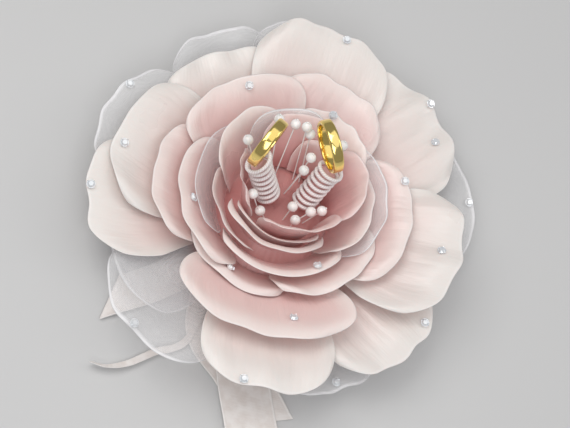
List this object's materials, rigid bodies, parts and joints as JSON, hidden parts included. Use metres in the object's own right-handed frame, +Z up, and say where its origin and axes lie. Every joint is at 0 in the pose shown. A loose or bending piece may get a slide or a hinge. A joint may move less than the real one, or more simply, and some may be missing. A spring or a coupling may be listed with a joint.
{
  "type": "ring bearer pillow",
  "caption": "Open fabric rose with layered satin and organza petals, pearl stamens, two coiled ring holders carrying wedding rings, and ribbon tails.",
  "frame": {"origin": "centre of the underside of the felt backing disc", "axes": "+Z up out of the rose's heart, +X to the right holder's side, -Y the way the long ribbon tail runs"},
  "size_m": [0.1636, 0.2051, 0.0642],
  "materials": {
    "felt": "matt felt",
    "satin_pale": "satin, pale pink fading to off-white at the rims",
    "satin_pink": "satin, dusty pink",
    "satin_deep": "satin, deep dusty pink",
    "organza": "sheer white organza with fused rims",
    "white_cord": "twisted white cord",
    "gold": "polished yellow gold",
    "pearl": "pearl",
    "ribbon": "off-white satin ribbon",
    "rhinestone": "faceted crystal in a silver cup"
  },
  "bodies": {
    "flower": {"backing_disc": "felt", "base_cushion": "satin_pink", "organza_outer_top_left": "organza", "organza_outer_left": "organza", "organza_outer_bottom_right": "organza", "organza_outer_right": "organza", "organza_outer_upper_left": "organza", "organza_outer_top": "organza", "organza_outer_lower_left": "organza", "satin_outer_left": "satin_pale", "satin_outer_top_left": "satin_pale", "satin_outer_upper_right": "satin_pale", "satin_outer_bottom_right": "satin_pale", "satin_outer_upper_left": "satin_pale", "satin_outer_top": "satin_pale", "satin_outer_bottom": "satin_pale", "satin_outer_lower_right": "satin_pale", "satin_mid_bottom": "satin_pink", "satin_mid_left": "satin_pink", "satin_mid_top": "satin_pink", "satin_mid_upper_left": "satin_pink", "satin_mid_lower_left": "satin_pink", "satin_mid_right": "satin_pink", "satin_mid_lower_right": "satin_pink", "satin_inner_far_left": "satin_pink", "organza_collar_left": "organza", "organza_collar_right": "organza", "satin_inner_front_low": "satin_pink", "satin_inner_front": "satin_pink", "satin_inner_right": "satin_pink", "satin_inner_left": "satin_pink", "satin_inner_back_left": "satin_pink", "satin_inner_back_right": "satin_pink", "satin_inner_front_high": "satin_pink", "organza_heart_back": "organza", "satin_heart_right": "satin_deep", "satin_heart_back": "satin_deep", "satin_heart_left": "satin_deep", "satin_heart_front": "satin_deep", "satin_heart_fold": "satin_deep", "left_holder_core": "satin_deep", "left_holder_coil": "white_cord", "right_holder_core": "satin_deep", "right_holder_coil": "white_cord", "stamen_back_left": "pearl", "stamen_back": "pearl", "stamen_back_middle": "pearl", "stamen_back_right": "pearl", "stamen_left": "pearl", "stamen_front_left": "pearl", "stamen_front_middle": "pearl", "stamen_front": "pearl", "stamen_front_right": "pearl", "ribbon_tail_long": "ribbon", "ribbon_tail_under": "ribbon", "ribbon_tail_left": "ribbon", "ribbon_tail_narrow": "ribbon"},
    "ring_left": {"left_ring": "gold"},
    "ring_right": {"right_ring": "gold"}
  },
  "joints": [
    {"name": "left_ring_lift", "type": "slide", "parent": "flower", "child": "ring_left", "axis": [0, 0, 1], "range_m": [0, 0.05]},
    {"name": "right_ring_lift", "type": "slide", "parent": "flower", "child": "ring_right", "axis": [0, 0, 1], "range_m": [0, 0.05]}
  ]
}
